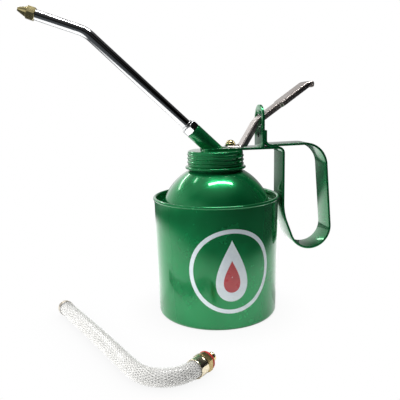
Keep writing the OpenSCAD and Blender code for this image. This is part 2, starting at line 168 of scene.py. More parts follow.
def lathe(profile, steps=96, closed=True, reach=None):
    """A profile of (radius, height) points turned about Z. reach(radius, height, angle) changes a radius."""
    points, faces, rows = [], [], []
    for radius, height in profile:
        if radius < 1e-6:
            points.append(Vector((0, 0, height)))
            rows.append([len(points) - 1] * steps)
            continue
        row = []
        for i in range(steps):
            angle = 2 * math.pi * i / steps
            r = reach(radius, height, angle) if reach else radius
            row.append(len(points))
            points.append(Vector((r * math.cos(angle), r * math.sin(angle), height)))
        rows.append(row)
    pairs = list(zip(rows, rows[1:]))
    if closed:
        pairs.append((rows[-1], rows[0]))
    for lower, upper in pairs:
        for i in range(steps):
            k = (i + 1) % steps
            corners = list(dict.fromkeys((lower[i], lower[k], upper[k], upper[i])))
            if len(corners) > 2:
                faces.append(corners)
    return points, faces


def way_at(line, i):
    """The line's direction at its point i."""
    return (line[min(i + 1, len(line) - 1)] - line[max(i - 1, 0)]).normalized()


def carry(line, section, across=None):
    """A closed section carried along a line without twist. section(i) gives its (across, up) points at the
    line's point i, and across is the way that across points at the start."""
    side = across or (line[1] - line[0]).normalized().cross(Vector((0, 0, 1))).normalized()
    points = []
    for i, place in enumerate(line):
        way = way_at(line, i)
        side = (side - way * side.dot(way)).normalized()
        up = way.cross(side)
        points += [place + side * a + up * b for a, b in section(i)]
    count = len(points) // len(line)
    return points, bands(len(line), count) + lids(len(line), count)


def tube(line, radius, sides=24):
    """A round bar along a line."""
    turns = [2 * math.pi * j / sides for j in range(sides)]
    ring = [(radius * math.cos(t), radius * math.sin(t)) for t in turns]
    return carry(line, lambda i: ring)


def placed(shape, place):
    """The shape moved and turned by a matrix."""
    return [place @ p for p in shape[0]], shape[1]


def shift(x, y, z):
    return Matrix.Translation((x, y, z))


def turn_about(axis, degrees):
    return Matrix.Rotation(math.radians(degrees), 4, axis)


def joined(*shapes):
    """Several shapes as one."""
    points, faces = [], []
    for more, their in shapes:
        faces += [tuple(n + len(points) for n in face) for face in their]
        points += list(more)
    return points, faces


def outline_plate(outline, thickness):
    """A flat outline given a thickness along Z."""
    points = [Vector((x, y, z)) for z in (0, thickness) for x, y in outline]
    return points, bands(2, len(outline)) + lids(2, len(outline))


def hex_reach(flats):
    """Limits a radius to a hexagon of that width across flats."""
    def reach(radius, height, angle):
        from_flat = (angle + math.pi / 6) % (math.pi / 3) - math.pi / 6
        return min(radius, flats / 2 / math.cos(from_flat))
    return reach


def hex_profile(flats, bore, low, high):
    """Profile of a hexagon nut with turned 30 degree chamfers, for lathe with hex_reach."""
    corner = flats / 2 / math.cos(math.pi / 6)
    face = flats * 0.485
    drop = (corner - face) * math.tan(math.radians(30))
    steps = 6
    shares = [i / steps for i in range(steps + 1)]
    chamfer = [(face + (corner - face) * share, low + drop * share) for share in shares]
    upper = [(face + (corner - face) * (1 - share), high - drop * (1 - share)) for share in shares]
    return [(bore, low)] + chamfer + upper + [(bore, high)]


def hex_nut(flats, bore, low, high):
    """A hexagon nut about Z."""
    return lathe(hex_profile(flats, bore, low, high), reach=hex_reach(flats))


def add_object(name, data):
    made = bpy.data.objects.new(name, data)
    bpy.context.scene.collection.objects.link(made)
    return made


def mesh_object(name, shape):
    """A Blender object from points in millimetres and faces."""
    points, faces = shape
    mesh = bpy.data.meshes.new(name)
    mesh.from_pydata([p * MM for p in points], [], faces)
    shell = bmesh.new()
    shell.from_mesh(mesh)
    bmesh.ops.remove_doubles(shell, verts=shell.verts, dist=1e-7)
    bmesh.ops.dissolve_degenerate(shell, edges=shell.edges, dist=1e-7)
    bmesh.ops.recalc_face_normals(shell, faces=shell.faces)
    shell.to_mesh(mesh)
    shell.free()
    made = add_object(name, mesh)
    shade(made)
    return made


def shade(made, crease=35):
    """Smooth shading, but sharp where faces meet at more than crease degrees."""
    made.data.shade_smooth()
    made.data.set_sharp_from_angle(angle=math.radians(crease))


def apply_modifiers(made, crease=35):
    """Bakes the piece's modifiers into its mesh."""
    bpy.context.view_layer.update()
    graph = bpy.context.evaluated_depsgraph_get()
    mesh = bpy.data.meshes.new_from_object(made.evaluated_get(graph))
    made.modifiers.clear()
    made.data = mesh
    shade(made, crease)


def cut(made, *shapes):
    """Takes solid shapes away from a piece."""
    cutters = []
    for shape in shapes:
        cutter = mesh_object("cutter", shape)
        cutters.append(cutter)
        step = made.modifiers.new("cut", "BOOLEAN")
        step.object = cutter
        step.operation = "DIFFERENCE"
        step.solver = "EXACT"
    apply_modifiers(made)
    for cutter in cutters:
        bpy.data.objects.remove(cutter)


def soften_edges(made, width, angle=50, segments=3):
    """Rounds the piece's sharp edges."""
    bevel = made.modifiers.new("edges", "BEVEL")
    bevel.width = width * MM
    bevel.segments = segments
    bevel.limit_method = "ANGLE"
    bevel.angle_limit = math.radians(angle)
    flat = made.modifiers.new("normals", "WEIGHTED_NORMAL")
    flat.keep_sharp = True
    apply_modifiers(made, crease=40)


def finish_piece(made, paint, body, nodes=()):
    """Gives a piece its paint and its CAD body, and hides the CAD nodes it stands for."""
    made.data.materials.clear()
    made.data.materials.append(paints[paint])
    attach(made, body)
    if nodes:
        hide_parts(*nodes)
    return made


def add_piece(name, shape, paint, body, nodes=()):
    return finish_piece(mesh_object(name, shape), paint, body, nodes)


def solid_of_turning(profile, steps=48):
    """A turned solid whose profile starts and ends on the axis."""
    return lathe(profile, steps, closed=False)


def rod_hole(radius, low, high):
    """A cutter for the hole that the pump rod passes through."""
    return placed(solid_of_turning([(0, low), (radius, low), (radius, high), (0, high)]), shift(ROD_X, 0, 0))


# --- shader helpers ---
class Nodes:
    """Makes and joins the nodes of one tree."""

    def __init__(self, tree):
        self.tree = tree

    def node(self, kind, **values):
        """A new node with those values in its input sockets."""
        node = self.tree.nodes.new(kind)
        for name, value in values.items():
            node.inputs[name].default_value = value
        return node

    def join(self, output, socket):
        self.tree.links.new(output, socket)

    def range(self, value, low, high, to_low=0.0, to_high=1.0, smooth=True):
        node = self.node("ShaderNodeMapRange")
        node.interpolation_type = "SMOOTHSTEP" if smooth else "LINEAR"
        for name, number in zip(("From Min", "From Max", "To Min", "To Max"), (low, high, to_low, to_high)):
            node.inputs[name].default_value = number
        self.join(value, node.inputs["Value"])
        return node.outputs["Result"]

    def math(self, kind, a, b):
        node = self.node("ShaderNodeMath")
        node.operation = kind
        for socket, value in zip(node.inputs, (a, b)):
            if isinstance(value, (int, float)):
                socket.default_value = value
            else:
                self.join(value, socket)
        return node.outputs[0]

    def measure(self, operation, place, fixed):
        """A vector output's DISTANCE from a fixed vector, or its DOT_PRODUCT with it."""
        node = self.node("ShaderNodeVectorMath")
        node.operation = operation
        node.inputs[1].default_value = fixed
        self.join(place, node.inputs[0])
        return node.outputs["Value"]

    def camera_sees(self, seen, otherwise):
        """One shader node's look for the camera and another's for all other rays."""
        both = self.node("ShaderNodeMixShader")
        self.join(self.node("ShaderNodeLightPath").outputs["Is Camera Ray"], both.inputs[0])
        self.join(otherwise.outputs[0], both.inputs[1])
        self.join(seen.outputs[0], both.inputs[2])
        return both.outputs[0]


class Paint(Nodes):
    """Builds one node material around its Principled shader."""

    def __init__(self, name):
        self.material = bpy.data.materials.new(name)
        self.material.use_nodes = True
        super().__init__(self.material.node_tree)
        self.shader = self.tree.nodes["Principled BSDF"]
        self.place = self.node("ShaderNodeTexCoord").outputs["Object"]

    def set(self, **values):
        """Sets the shader's own sockets, with _ for a space in a name."""
        for name, value in values.items():
            self.shader.inputs[name.replace("_", " ")].default_value = value

    def link(self, output, name):
        self.join(output, self.shader.inputs[name])

    def stretched(self, scale, turn):
        """Object coordinates scaled on each axis, in turns per metre."""
        mapping = self.node("ShaderNodeMapping", Scale=scale, Rotation=turn)
        self.join(self.place, mapping.inputs["Vector"])
        return mapping.outputs["Vector"]

    def noise(self, scale, detail=3, rough=0.5, place=None):
        noise = self.node("ShaderNodeTexNoise", Scale=scale, Detail=detail, Roughness=rough)
        self.join(place or self.place, noise.inputs["Vector"])
        return noise.outputs["Fac"]

    def mix(self, share, a, b):
        """Colour a where share is 0 and b where it is 1."""
        node = self.node("ShaderNodeMix")
        node.data_type = "RGBA"
        self.join(share, node.inputs[0])
        for socket, value in zip((node.inputs[6], node.inputs[7]), (a, b)):
            if isinstance(value, tuple):
                socket.default_value = (*value, 1)
            else:
                self.join(value, socket)
        return node.outputs[2]

    def dots(self, scale, radius, rare):
        """1 at scattered round dots: cells of 1/scale metre, a share of them with a dot of that radius."""
        cells = self.node("ShaderNodeTexVoronoi", Scale=scale)
        self.join(self.place, cells.inputs["Vector"])
        near = self.range(cells.outputs["Distance"], radius * scale * 0.4, radius * scale, 1, 0)
        colour = self.node("ShaderNodeSeparateColor")
        self.join(cells.outputs["Color"], colour.inputs["Color"])
        picked = self.math("LESS_THAN", colour.outputs["Red"], rare)
        return self.math("MULTIPLY", near, picked)

    def bump(self, height, depth, before=None):
        """A bump of that depth in metres, on top of an earlier one."""
        node = self.node("ShaderNodeBump", Strength=1, Distance=depth)
        self.join(height, node.inputs["Height"])
        if before:
            self.join(before, node.inputs["Normal"])
        self.link(node.outputs["Normal"], "Normal")
        return node.outputs["Normal"]


def enamel():
    """Green lacquer over bright sheet: tinted glow below a hard gloss, with orange peel and dust nibs."""
    paint = Paint("gloss_enamel")
    paint.set(Metallic=0.6, Specular_IOR_Level=0.0, Coat_Weight=1.0, Coat_Roughness=0.03, Coat_IOR=1.42)
    drift = paint.noise(28, 4)
    colour = paint.mix(paint.range(drift, 0.3, 0.7), (0.007, 0.205, 0.060), (0.011, 0.245, 0.076))
    nibs = paint.dots(130, 0.0003, 0.07)
    colour = paint.mix(nibs, colour, (0.35, 0.52, 0.42))
    paint.link(colour, "Base Color")
    smears = paint.noise(60, 5, 0.6)
    paint.link(paint.range(smears, 0.3, 0.75, 0.16, 0.30), "Roughness")
    peel = paint.bump(paint.noise(620, 1), 0.000012)
    waves = paint.bump(paint.noise(55, 1), 0.00003, peel)
    paint.bump(nibs, 0.00003, waves)
    return paint.material


def plated(name, colour, worn, rough, tarnish, streaks=None):
    """Bright metal with a slight drift of colour, smears and, along streaks, fine brushing."""
    paint = Paint(name)
    paint.set(Metallic=1.0)
    patches = paint.range(paint.noise(70, 2, 0.5), 0.42, 0.72, 0, tarnish)
    paint.link(paint.mix(patches, colour, worn), "Base Color")
    smears = paint.noise(110, 2, 0.5)
    paint.link(paint.range(smears, 0.3, 0.75, rough * 0.8, rough * 1.4), "Roughness")
    if streaks:
        lines = paint.noise(1, 2, 0.5, paint.stretched(*streaks))
        first = paint.bump(lines, 0.00000015)
        paint.bump(paint.noise(160, 1), 0.0000008, first)
    else:
        paint.bump(paint.noise(500, 1), 0.000001)
    return paint.material


def dull(name, colour, other, rough, scale, depth):
    """Rubber, leather, fibre or yarn: a mottled matt surface with a fine grain."""
    paint = Paint(name)
    grain = paint.noise(scale, 4, 0.6)
    paint.link(paint.mix(paint.range(grain, 0.35, 0.65), colour, other), "Base Color")
    paint.link(paint.range(grain, 0.3, 0.7, rough * 0.85, min(1, rough * 1.15)), "Roughness")
    paint.bump(grain, depth)
    return paint.material


def clear_hose():
    """Soft clear plastic, a little cloudy, with faint extrusion lines."""
    paint = Paint("hose_plastic")
    paint.set(IOR=1.45, Coat_Weight=0.5, Coat_Roughness=0.06)
    cloud = paint.noise(90, 3)
    colour = paint.mix(paint.range(cloud, 0.35, 0.65), (0.82, 0.82, 0.80), (0.88, 0.88, 0.87))
    paint.link(colour, "Base Color")
    paint.link(paint.range(cloud, 0.3, 0.7, 0.14, 0.24), "Roughness")
    paint.link(paint.range(cloud, 0.3, 0.7, 0.26, 0.36), "Alpha")
    paint.bump(paint.noise(200, 1), 0.00001)
    return paint.material


def print_ink(name, colour, worn):
    """Ink under the lacquer's gloss, a little uneven."""
    paint = Paint(name)
    paint.set(IOR=1.5, Coat_Weight=0.6, Coat_Roughness=0.05)
    drift = paint.noise(160, 4, 0.6)
    specks = paint.dots(420, 0.0002, 0.12)
    base = paint.mix(paint.range(drift, 0.3, 0.7), colour, worn)
    paint.link(paint.mix(specks, base, (0.10, 0.25, 0.15)), "Base Color")
    paint.link(paint.range(drift, 0.3, 0.7, 0.25, 0.38), "Roughness")
    paint.bump(paint.noise(620, 1), 0.000012)
    return paint.material


# --- camera, lights and floor ---
def set_camera():
    """The photograph's viewpoint: a little above the can, to its left."""
    lens = bpy.data.cameras.new("camera")
    lens.lens = 47.27
    lens.sensor_width = 36
    lens.clip_start = 0.01
    camera = add_object("camera", lens)
    yaw, pitch, roll = 10.93, 10.86, -1.15
    turn = turn_about("Z", -yaw) @ turn_about("X", 90 - pitch) @ turn_about("Z", roll)
    camera.matrix_world = Matrix.Translation(Vector((-81.4, -361.0, 152.5)) * MM) @ turn
    bpy.context.scene.camera = camera


def softbox(name, place, size, aim, power, mirrored):
    """A white rectangular light. Where mirrored is false, gloss doesn't show it."""
    light = bpy.data.lights.new(name, "AREA")
    light.shape = "RECTANGLE"
    light.size, light.size_y = size
    light.energy = power
    lamp = add_object(name, light)
    lamp.location = place
    lamp.rotation_euler = (Vector(aim) - Vector(place)).to_track_quat("-Z", "Y").to_euler()
    lamp.visible_glossy = mirrored
    lamp.visible_camera = False


def set_lights():
    """Strips that the gloss mirrors, and soft window light from the left that it doesn't."""
    can = (0, 0, 0.09)
    softbox("ceiling_strip_front", (0.15, -0.07, 1.2), (0.80, 0.11), (0.15, -0.07, 0), 8.0, True)
    softbox("ceiling_strip_back", (0.12, 0.28, 1.2), (0.48, 0.04), (0.12, 0.28, 0), 1.3, True)
    softbox("far_strip", (-0.93, 1.75, 1.25), (1.3, 0.14), can, 4.4, True)
    softbox("near_strip", (-0.52, 0.53, 1.2), (0.26, 0.07), can, 0.5, True)
    softbox("window_high", (-1.1, 0.06, 1.1), (0.7, 0.7), can, 5.5, False)
    softbox("window_low", (-1.4, -0.1, 0.35), (0.7, 0.7), can, 9.5, False)
    softbox("window_front", (-0.9, -0.9, 0.9), (0.7, 0.7), can, 0.4, False)
    softbox("ceiling", (0, 0, 1.3), (0.8, 0.8), can, 0.5, False)


def set_world():
    """White behind the object; in reflections a dark room with soft glows, most of them on the left."""
    world = bpy.data.worlds.new("room")
    world.use_nodes = True
    bpy.context.scene.world = world
    world.node_tree.nodes.clear()
    sky = Nodes(world.node_tree)
    way = sky.node("ShaderNodeTexCoord").outputs["Generated"]
    # azimuth and height of each glow's middle in degrees, and its level
    glows = ((-148, 4, 0.80), (167, 4, 0.66), (122, 4, 0.26), (77, 4, 0.40), (-163, 42, 0.10),
             (137, 42, 0.38), (17, 42, 0.04), (0, 90, 0.45), (-103, 42, 0.05), (107, 4, 0.9))
    glow_edge = 0.72
    total = None
    for azimuth, height, level in glows:
        a, e = math.radians(azimuth), math.radians(height)
        middle = (math.cos(a) * math.cos(e), math.sin(a) * math.cos(e), math.sin(e))
        share = sky.range(sky.measure("DOT_PRODUCT", way, middle), glow_edge, 1, 0, level)
        total = sky.math("ADD", total, share) if total else share
    room = sky.node("ShaderNodeBackground")
    sky.join(total, room.inputs["Strength"])
    white = sky.node("ShaderNodeBackground", Color=(1, 1, 1, 1))
    sky.join(sky.camera_sees(white, room), sky.node("ShaderNodeOutputWorld").inputs["Surface"])


def make_floor():
    """A white sheet: the camera sees an even white glow with a painted contact shadow near the object; other
    rays see the sheet lit near the object with a painted glow on it, a painted glowing patch behind it to the
    left, and the floor dark beyond.
    """
    size = 6
    mesh = bpy.data.meshes.new("floor")
    corners = [(x * size, y * size, 0) for x, y in ((-1, -1), (1, -1), (1, 1), (-1, 1))]
    mesh.from_pydata(corners, [], [(0, 1, 2, 3)])
    floor = add_object("floor", mesh)
    paint = Paint("white_sheet_painted_glow_and_shadow")
    from_can = paint.measure("DISTANCE", paint.place, (-0.03, 0.07, 0))
    near = paint.range(from_can, 0.20, 0.28, 1, 0)
    paint.link(paint.mix(near, (0.06, 0.065, 0.07), (0.92, 0.92, 0.92)), "Base Color")
    paint.set(Roughness=0.9, Specular_IOR_Level=0.0, Emission_Color=(1, 1, 1, 1))
    # painted glow: a patch of floor behind the object, to its left, emits light of its own for all but camera
    # rays
    from_glow_patch = paint.measure("DISTANCE", paint.place, (-0.30, 1.0, 0))
    painted_glow_patch = paint.range(from_glow_patch, 0.40, 0.68, 0.34, 0)
    # painted glow: near the object the sheet emits light of its own on top of being lit
    painted_glow_near = paint.math("MULTIPLY", near, 0.28)
    paint.link(paint.math("ADD", painted_glow_near, painted_glow_patch), "Emission Strength")
    # painted contact shadow: ambient occlusion dims the floor's white glow near the object, as the camera
    # sees it
    shade_near = paint.node("ShaderNodeAmbientOcclusion", Distance=0.03)
    glow = paint.node("ShaderNodeEmission")
    strength = paint.range(shade_near.outputs["AO"], 0, 1, 0.90, 1.0, smooth=False)
    paint.join(strength, glow.inputs["Strength"])
    surface = paint.tree.nodes["Material Output"].inputs["Surface"]
    paint.join(paint.camera_sees(glow, paint.shader), surface)
    mesh.materials.append(paint.material)


# --- flexible spout ---
def yarn_strand(line, spacing, start, hand):
    """One flat strand of the braid, which winds round the hose and passes over and under the other hand's."""
    side = Vector((0, 0, 1)).cross(line[1] - line[0])
    centre, outward = [], []
    for i, place in enumerate(line):
        way = way_at(line, i)
        side = (side - way * side.dot(way)).normalized()
        along = i * spacing / YARN_PITCH
        angle = start + hand * 2 * math.pi * along
        lift = hand * WEAVE * math.cos(2 * math.pi * YARNS * along)
        out = side * math.cos(angle) + way.cross(side) * math.sin(angle)
        outward.append(out)
        centre.append(place + out * (BRAID_R + lift))
    outline = [(YARN_HALF_W, 0), (0, YARN_HALF_T), (-YARN_HALF_W, 0), (0, -YARN_HALF_T)]
    points = []
    for i, place in enumerate(centre):
        across = way_at(centre, i).cross(outward[i]).normalized()
        points += [place + across * a + outward[i] * b for a, b in outline]
    return points, bands(len(centre), 4) + lids(len(centre), 4)


def lying_at(place, turn):
    """Z along a piece that lies at that place, pointing that many degrees from X."""
    return Matrix.Translation(place) @ turn_about("Z", turn + 90) @ turn_about("X", 90)


def crimped(radius, height, angle):
    """Six flats pressed into the sleeve's middle."""
    if radius <= 5.4:
        return radius
    share = ease(-2.0, -1.2, height) * (1 - ease(2.6, 3.4, height))
    return radius + (hex_reach(10.9)(radius, height, angle) - radius) * share


def make_hose():
    """The clear outer tube, the liner in it and the braid between them."""
    route = smooth_route(HOSE_ROUTE)
    line = walk(route, 1.0)
    hose = add_piece("hose_outer", tube(line, HOSE_R, 40), "hose", "flex_spout", ["flex_hose"])
    core = add_piece("hose_liner", tube(line, LINER_R), "liner", "flex_spout")
    spacing = 0.5
    fine = walk(route, spacing)
    turns = [2 * math.pi * n / YARNS for n in range(YARNS)]
    strands = [yarn_strand(fine, spacing, turn, hand) for hand in (1, -1) for turn in turns]
    braid = add_piece("hose_braid", joined(*strands), "yarn", "flex_spout")
    return line, hose, core, braid


def make_fitting():
    """The crimped sleeve, hexagon, threaded nipple and washer at the hose's brass end."""
    place = lying_at(HOSE_ROUTE[0], FITTING_TURN)
    in_r = HOSE_R + 0.02
    sleeve = [(in_r, -2.4), (5.6, -2.4)] + [(5.72, -2.2 + 0.3 * i) for i in range(21)]
    sleeve += [(5.72, CRIMP_LEN - 0.15), (5.55, CRIMP_LEN), (3.2, CRIMP_LEN), (3.2, 0.06), (in_r, 0.06)]
    crimp = add_piece("crimp_sleeve", placed(lathe(sleeve, reach=crimped), place), "pale_brass",
                      "flex_spout", ["flex_crimp"])

    bore = 1.6
    hex_from = CRIMP_LEN + 0.1
    hex_to = hex_from + HEX_LEN
    nut = hex_nut(11, bore, hex_from, hex_to)
    hexagon = add_piece("fitting_hexagon", placed(nut, place), "old_brass", "flex_spout", ["flex_fitting"])
    screw = thread_shape(NIPPLE_R - 0.25, NIPPLE_R, bore, hex_to - 0.3, hex_to + 1.85, hex_to + 6.9, 0.9)
    nipple = add_piece("threaded_nipple", placed(screw, place), "brass", "flex_spout")

    low, high = hex_to + 0.05, hex_to + 0.05 + 1.6
    section = rounded([(2.85, low, 0.2), (5.7, low, 0.45), (5.7, high, 0.45), (2.85, high, 0.2)], closed=True)
    washer = add_piece("fibre_washer", placed(lathe(section), place), "fibre", "flex_spout", ["flex_washer"])
    return crimp, hexagon, nipple, washer


def make_tip():
    """The plain metal ferrule on the hose's far end."""
    fit_r, collar_r = HOSE_R + 0.01, HOSE_R + 0.045
    profile = rounded([(fit_r, -1.0, 0), (collar_r, -1.0, 0.01), (collar_r, 0.3, 0.2), (5.15, 0.75, 0.2),
                       (5.15, 2.3, 0.3), (4.35, 3.4, 0.35), (2.6, 3.4, 0.3), (2.6, 1.2, 0), (2.6, 0.06, 0),
                       (fit_r, 0.06, 0)], closed=True, steps=4)
    return add_piece("hose_tip", placed(lathe(profile), lying_at(HOSE_ROUTE[-1], TIP_TURN)), "tin",
                     "flex_spout", ["flex_tip"])


def make_flexible_spout():
    line, hose, core, braid = make_hose()
    crimp, hexagon, nipple, washer = make_fitting()
    tip = make_tip()


def thread_shape(root, crest, bore, shank_from, low, high, pitch):
    """A hollow stud with a helical thread between two heights."""
    steps = max(8, round((high - low) / pitch * 10))
    heights = [low + (high - low) * i / steps for i in range(steps + 1)]
    profile = [(bore, shank_from), (root, shank_from)] + [(root, h) for h in heights] + [(bore, high)]

    def reach(radius, height, angle):
        if radius != root or height < low:
            return radius
        turn = (height / pitch - angle / (2 * math.pi)) % 1
        fade = ease(low, low + pitch, height) * (1 - ease(high - pitch, high, height))
        return root + (crest - root) * fade * (1 - abs(2 * turn - 1)) + (crest - root) * 0.1
    return lathe(profile, 64, reach=reach)


# --- can ---
def wavy(radius, height, angle):
    """Sheet metal that isn't quite round."""
    if radius < PANEL_R + 2:
        return radius
    share = ease(2, 30, height) * (1 - ease(60, 80, height))
    ripple = math.sin(3 * angle + 0.07 * height) + math.sin(5 * angle - 0.05 * height + 1)
    return radius + share * 0.035 * ripple


def make_can():
    """The drawn can with its rolled rim, and the domed shoulder in it."""
    wall_in = CAN_R - SHEET
    corners = [(0, PANEL_Z, 0), (PANEL_R - 1.2, PANEL_Z, 0.8), (PANEL_R, 0, 0.7), (BASE_R, 0, BASE_EDGE_R)]
    outer = rounded(corners + [(CAN_R, RIM_Z - 1, 0)], steps=10)
    wall = [outer[-2].lerp(outer[-1], i / 24) for i in range(1, 24)]
    bead = arc((RIM_R, RIM_Z), RIM_BEAD_R, -60, 230, 28)
    inner = rounded([(wall_in, RIM_Z - 2, 0), (BASE_R - SHEET, SHEET, BASE_EDGE_R - SHEET),
                     (PANEL_R + 0.6, SHEET, 0.5), (PANEL_R - 0.8, PANEL_Z + SHEET, 0.8),
                     (0, PANEL_Z + SHEET, 0)])
    profile = outer[:-1] + wall + [Vector(p) for p in bead] + inner
    add_piece("can_shell", lathe(profile, 192, closed=False, reach=wavy), "enamel", "can", ["can_body"])

    foot_r = math.sqrt(DOME_R ** 2 - (DOME_FOOT_Z - DOME_Z) ** 2)
    foot_angle = math.degrees(math.asin((DOME_FOOT_Z + 0.7 - DOME_Z) / DOME_R))
    neck_angle = math.degrees(math.acos((NECK_R + 0.05) / DOME_R))
    in_r = DOME_R - SHEET
    over = arc((0, DOME_Z), DOME_R, neck_angle, foot_angle, 40)
    flange = rounded([over[-1] + (0,), (foot_r, DOME_FOOT_Z, 0.7), (DOME_OUT_R, DOME_FOOT_Z, 0.6),
                      (DOME_OUT_R, RIM_Z - RIM_BEAD_R - 0.05, 0)], steps=6)
    low = DOME_FOOT_Z - SHEET
    bottom = [(DOME_OUT_R - 0.02, low), (foot_r - 0.35, low)]
    bottom += arc((0, DOME_Z), in_r, foot_angle - 2, neck_angle + 0.6, 40)
    add_piece("shoulder", lathe(over[:-1] + flange + bottom, 192), "enamel", "can", ["shoulder_dome"])

    make_neck()
    make_emblem()


def helix_share(height, angle, low, high):
    """0 in the groove and 1 on the crest of the cap's thread, which fades out at both ends."""
    turn = height / PITCH - angle / (2 * math.pi)
    crest = 0.5 + 0.5 * math.cos(2 * math.pi * (turn - LIP_Z / PITCH + 0.12))
    fade = ease(low, low + 1.2, height) * (1 - ease(high - 1.4, high, height))
    return crest ** 1.25 * fade


def make_neck():
    """The neck, with a helical thread that the cap hides."""
    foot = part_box("neck_ring")[0].z / MM
    thread_top, ridge = 113.9, 0.34
    heights = [106.5 + 0.2 * i for i in range(38)]
    outer = [(NECK_R, h) for h in [foot] + heights]
    outer += [(NECK_R - 0.15, NECK_TOP), (NECK_BORE_R + 0.1, NECK_TOP)]

    def reach(radius, height, angle):
        if radius != NECK_R:
            return radius
        return radius + ridge * helix_share(height, angle, THREAD_Z, thread_top)
    profile = outer + [(NECK_BORE_R, NECK_TOP - 0.15), (NECK_BORE_R, foot)]
    add_piece("threaded_neck", lathe(profile, 128, reach=reach), "neck", "can", ["neck_ring"])


def make_emblem():
    """A plain printed badge on the front of the can: a ring round an oil drop."""
    facing, middle, outer, inner = math.radians(-89.5), 41.4, 28.8, 26.0
    drop_w, drop_h = 15.0, 21.0
    mean_r = (CAN_R + BASE_R) / 2

    def on_wall(across, up, lift):
        height = middle + up
        share = (height - BASE_EDGE_R) / (RIM_Z - BASE_EDGE_R)
        angle = facing + across / mean_r
        radius = wavy(BASE_R + (CAN_R - BASE_R) * share, height, angle) + lift
        return Vector((radius * math.cos(angle), radius * math.sin(angle), height))

    def patch(name, rings, paint, top=0.10):
        """A closed thin print over rings of (across, up) points."""
        sunk = -0.25
        layers = [rings[0]] + rings + [rings[-1]]
        lifts = [sunk] + [top] * len(rings) + [sunk]
        points = [on_wall(x, y, lift) for ring, lift in zip(layers, lifts) for x, y in ring]
        faces = bands(len(layers), len(rings[0]), closed=True)
        add_piece(name, (points, faces), paint, "can")

    def circle(radius, count=120):
        turns = [2 * math.pi * i / count for i in range(count)]
        return [(radius * math.cos(t), radius * math.sin(t)) for t in turns]

    def drop(scale, lowered=0, count=96):
        """A drop outline, round below and pointed above."""
        points = []
        for i in range(count):
            t = 2 * math.pi * i / count
            wide = drop_w * math.sin(t) * math.sin(t / 2) ** 1.35
            points.append((scale * wide, scale * (drop_h * math.cos(t) + 0.6) - lowered))
        return points

    patch("badge_ring", [circle(inner + (outer - inner) * i / 3) for i in range(4)], "white_ink")
    patch("badge_drop", [drop(0.02 + 0.98 * i / 9) for i in range(10)], "white_ink")
    patch("badge_drop_heart", [drop(0.02 + 0.50 * i / 6, 3.6) for i in range(7)], "red_ink", 0.16)


# --- cap with pump, handle and bracket ---
def make_cap():
    """The screw cap: a turned-out lip, a rolled thread and a flat top."""
    skirt, thread_top = CAP_BORE_R + 0.42, 116.0
    heights = [106.5 + 0.14 * i for i in range(70)]
    outer = [(18.98, LIP_Z - 0.35), (19.35, LIP_Z - 0.82)]
    outer += arc((CAP_BORE_R + 1.5, LIP_Z), LIP_R, -120, 95, 18)
    outer += [(skirt + 0.35, LIP_Z + 0.88)] + [(skirt, h) for h in heights]
    outer += arc((CAP_BORE_R - 0.68, CAP_TOP - 1.1), 1.1, 0, 90, 8) + [(12, CAP_TOP), (0, CAP_TOP)]
    inside = CAP_BORE_R + 0.02
    inner = [(0, CAP_TOP - CAP_PLATE), (18.3, CAP_TOP - CAP_PLATE)]
    inner += [(inside, h) for h in reversed(heights)]

    def reach(radius, height, angle):
        ridge = {skirt: 0.66, inside: 0.50}.get(radius, 0)
        return radius + ridge * helix_share(height, angle, THREAD_Z, thread_top)
    cap = mesh_object("cap_shell_skin", lathe(outer + inner, 160, reach=reach))
    cut(cap, rod_hole(4.0, CAP_TOP - 3, CAP_TOP + 3))
    shade(cap, 38)
    finish_piece(cap, "enamel", "cap", ["cap_shell"])


def spout_place():
    """Z along the lower spout, with zero where its axis meets the cap."""
    return shift(OUTLET_X, 0, CAP_TOP) @ turn_about("Y", SPOUT_ANGLE - 90)


def upper_place():
    """Z along the upper spout, with zero at the end of the bend."""
    return spout_place() @ shift(-BEND_R, 0, BEND_AT) @ turn_about("Y", -BEND_ANGLE) @ shift(BEND_R, 0, 0)


def make_socket():
    """The outlet tube, whose foot spreads on the cap in a smooth fillet of solder under the paint."""
    place = spout_place()
    axis = place.to_3x3() @ Vector((0, 0, 1))
    steps, fillet_steps, fillet_r, bore = 96, 6, 1.1, 4.42
    turns = [2 * math.pi * j / steps for j in range(steps)]

    def ring(radius, height):
        return [place @ Vector((radius * math.cos(t), radius * math.sin(t), height)) for t in turns]

    def on_cap(radius, spread, lift):
        """Where each line of the tube's wall meets the cap, moved outward by spread and up by lift."""
        row = []
        for p in ring(radius, 0):
            hit = p - axis * (p.z - CAP_TOP - lift) / axis.z
            out = Vector((hit.x - OUTLET_X, hit.y, 0)).normalized()
            row.append(hit + out * spread)
        return row

    rows = []
    for i in range(fillet_steps + 1):
        t = math.radians(90 * i / fillet_steps)
        rows.append(on_cap(SOCKET_R, fillet_r * (1 - math.sin(t)), fillet_r * (1 - math.cos(t)) - 0.02))
    shoulder = ring(SOCKET_R, SOCKET_END - 0.35)
    rows += [[a.lerp(b, i / 8) for a, b in zip(rows[-1], shoulder)] for i in range(1, 9)]
    rows += [ring(SOCKET_R - 0.1, SOCKET_END - 0.1), ring(SOCKET_R - 0.35, SOCKET_END),
             ring(bore + 0.2, SOCKET_END), ring(bore, SOCKET_END - 0.2), on_cap(bore, 0, 0)]
    shape = [p for row in rows for p in row], bands(len(rows), steps, closed=True)
    add_piece("outlet_tube", shape, "enamel", "cap", ["outlet_socket"])


